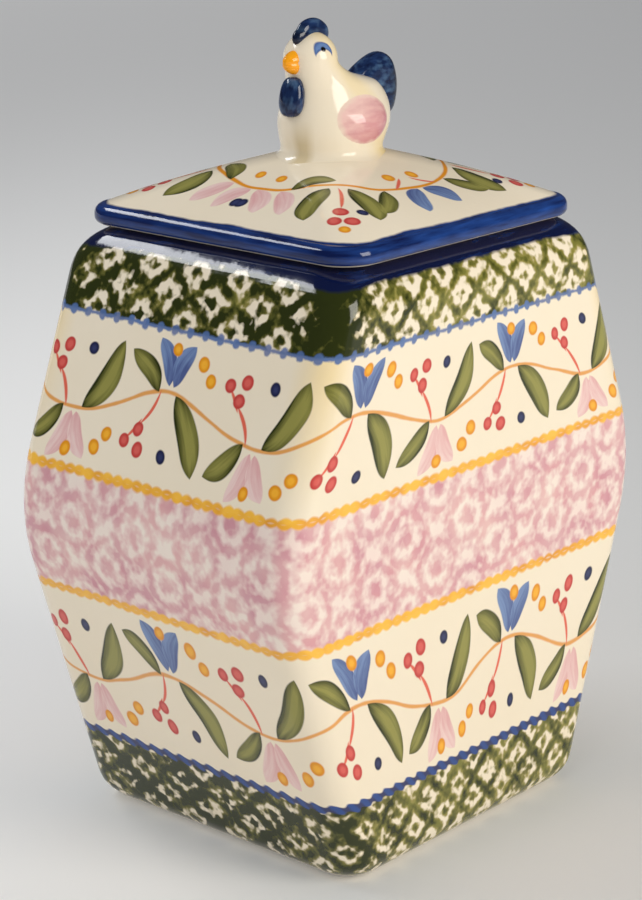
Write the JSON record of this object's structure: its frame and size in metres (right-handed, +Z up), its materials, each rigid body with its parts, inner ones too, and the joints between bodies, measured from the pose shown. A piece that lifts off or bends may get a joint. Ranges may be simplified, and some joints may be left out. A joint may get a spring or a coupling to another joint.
{
  "type": "canister",
  "caption": "Glazed stoneware kitchen canister: a six-sided faceted jar with a square mouth, and a domed lift-off lid with a seal ring and a hen for its knob.",
  "frame": {"origin": "middle of the jar's base, on the surface that it stands on", "axes": "+Z up; the two hexagonal faces look along -Y and +Y; the hen looks along -X"},
  "size_m": [0.1828, 0.1236, 0.2654],
  "materials": {
    "cream_glaze": "glossy cream glaze over stoneware",
    "cobalt_glaze": "glossy cobalt blue glaze, brushed on",
    "amber_glaze": "glossy amber glaze",
    "rose_glaze": "glossy rose pink glaze, brushed on",
    "seal_silicone": "translucent white soft silicone"
  },
  "bodies": {
    "jar": {"jar_body": "cream_glaze"},
    "lid": {"lid": "cream_glaze", "lid_seal": "seal_silicone", "hen_body": "cream_glaze", "hen_comb": "cobalt_glaze", "hen_beak": "amber_glaze", "hen_wattle": "cobalt_glaze", "hen_left_wing": "rose_glaze", "hen_right_wing": "rose_glaze", "hen_tail": "cobalt_glaze"}
  },
  "joints": [
    {"name": "lid_lift", "type": "slide", "parent": "jar", "child": "lid", "axis": [0, 0, 1], "range_m": [0, 0.15]}
  ]
}
